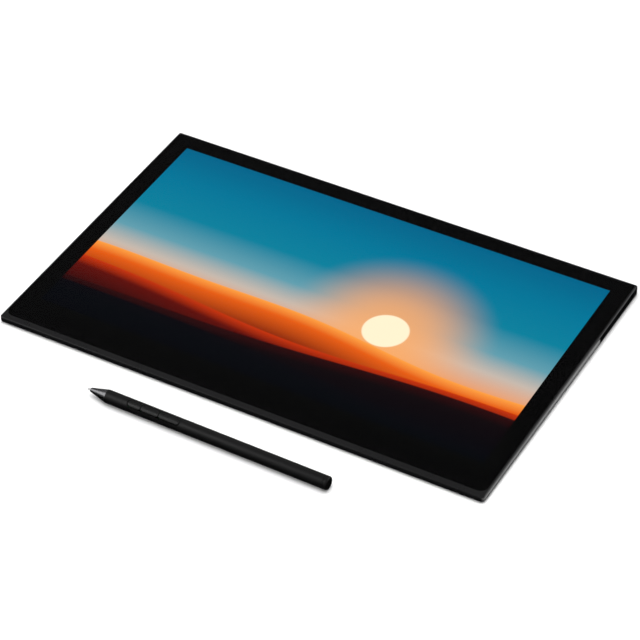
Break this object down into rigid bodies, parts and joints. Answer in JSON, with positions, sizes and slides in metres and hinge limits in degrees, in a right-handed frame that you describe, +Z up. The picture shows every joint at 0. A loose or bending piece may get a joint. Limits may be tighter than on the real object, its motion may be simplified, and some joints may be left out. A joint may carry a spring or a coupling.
{
  "type": "graphics tablet with screen",
  "caption": "Thin black graphics tablet with a glass-covered screen, a socket bay in its right side and a push button at the back, with a slim black pen that has side switches.",
  "frame": {"origin": "on the desk, under the middle of the tablet and its pen together", "axes": "+X to the right along the tablet's long side, +Y to its back edge, +Z up from the desk"},
  "size_m": [0.32, 0.2373, 0.0082],
  "materials": {
    "cover_glass": "gloss",
    "tape": "matt",
    "display": "gloss",
    "circuit_board": "satin",
    "foil": "satin",
    "chassis": "matt",
    "frame": "satin, anodised",
    "cover": "satin, anodised",
    "component": "matt",
    "connector": "matt",
    "flex": "satin",
    "black_plastic": "matt",
    "steel": "satin",
    "rubber": "matt",
    "pen_black": "satin",
    "pen_switch": "satin",
    "pen_grey": "satin",
    "nib": "matt",
    "ferrite": "matt",
    "copper": "gloss"
  },
  "bodies": {
    "tablet": {"cover_glass": "cover_glass", "bonding_tape": "tape", "display_panel": "display", "sensor_board": "circuit_board", "sensor_shield": "foil", "chassis_plate": "chassis", "mid_frame": "frame", "rear_cover": "cover", "main_board": "circuit_board", "main_chip": "component", "board_shield_can": "foil", "board_components": "component", "flex_connectors": "connector", "display_flex": "flex", "sensor_flex": "flex", "port_insert": "black_plastic", "usb_shells": "steel", "usb_tongues": "black_plastic", "power_switch": "component", "rubber_feet": "rubber", "case_screws": "steel", "board_screws": "steel"},
    "power_button": {"power_button": "frame"},
    "pen": {"pen_barrel": "pen_black", "pen_nose_cone": "pen_grey", "pen_ferrite_core": "ferrite", "pen_coil": "copper", "pen_pressure_sensor": "connector", "pen_core_carrier": "connector", "pen_circuit_board": "circuit_board", "pen_switch_domes": "steel", "pen_end_cap": "pen_black"},
    "pen_nib": {"pen_nib": "nib"},
    "pen_button_front": {"pen_button_front": "pen_switch"},
    "pen_button_middle": {"pen_button_middle": "pen_switch"},
    "pen_button_rear": {"pen_button_rear": "pen_switch"}
  },
  "joints": [
    {"name": "power_press", "type": "slide", "parent": "tablet", "child": "power_button", "axis": [0, -0.9999, -0.0118], "range_m": [0, 0.00035], "stiffness_N_per_m": 1500},
    {"name": "pen_lift", "type": "slide", "parent": "tablet", "child": "pen", "axis": [0, 0, 1], "range_m": [0, 0.12]},
    {"name": "nib_press", "type": "slide", "parent": "pen", "child": "pen_nib", "axis": [0.9999, -0.0122, 0], "range_m": [0, 0.0005], "stiffness_N_per_m": 2000},
    {"name": "pen_front_press", "type": "slide", "parent": "pen", "child": "pen_button_front", "axis": [0.0059, 0.4848, -0.8746], "range_m": [0, 0.00035], "stiffness_N_per_m": 1500},
    {"name": "pen_middle_press", "type": "slide", "parent": "pen", "child": "pen_button_middle", "axis": [0.0059, 0.4848, -0.8746], "range_m": [0, 0.00035], "stiffness_N_per_m": 1500},
    {"name": "pen_rear_press", "type": "slide", "parent": "pen", "child": "pen_button_rear", "axis": [0.0059, 0.4848, -0.8746], "range_m": [0, 0.00035], "stiffness_N_per_m": 1500}
  ]
}
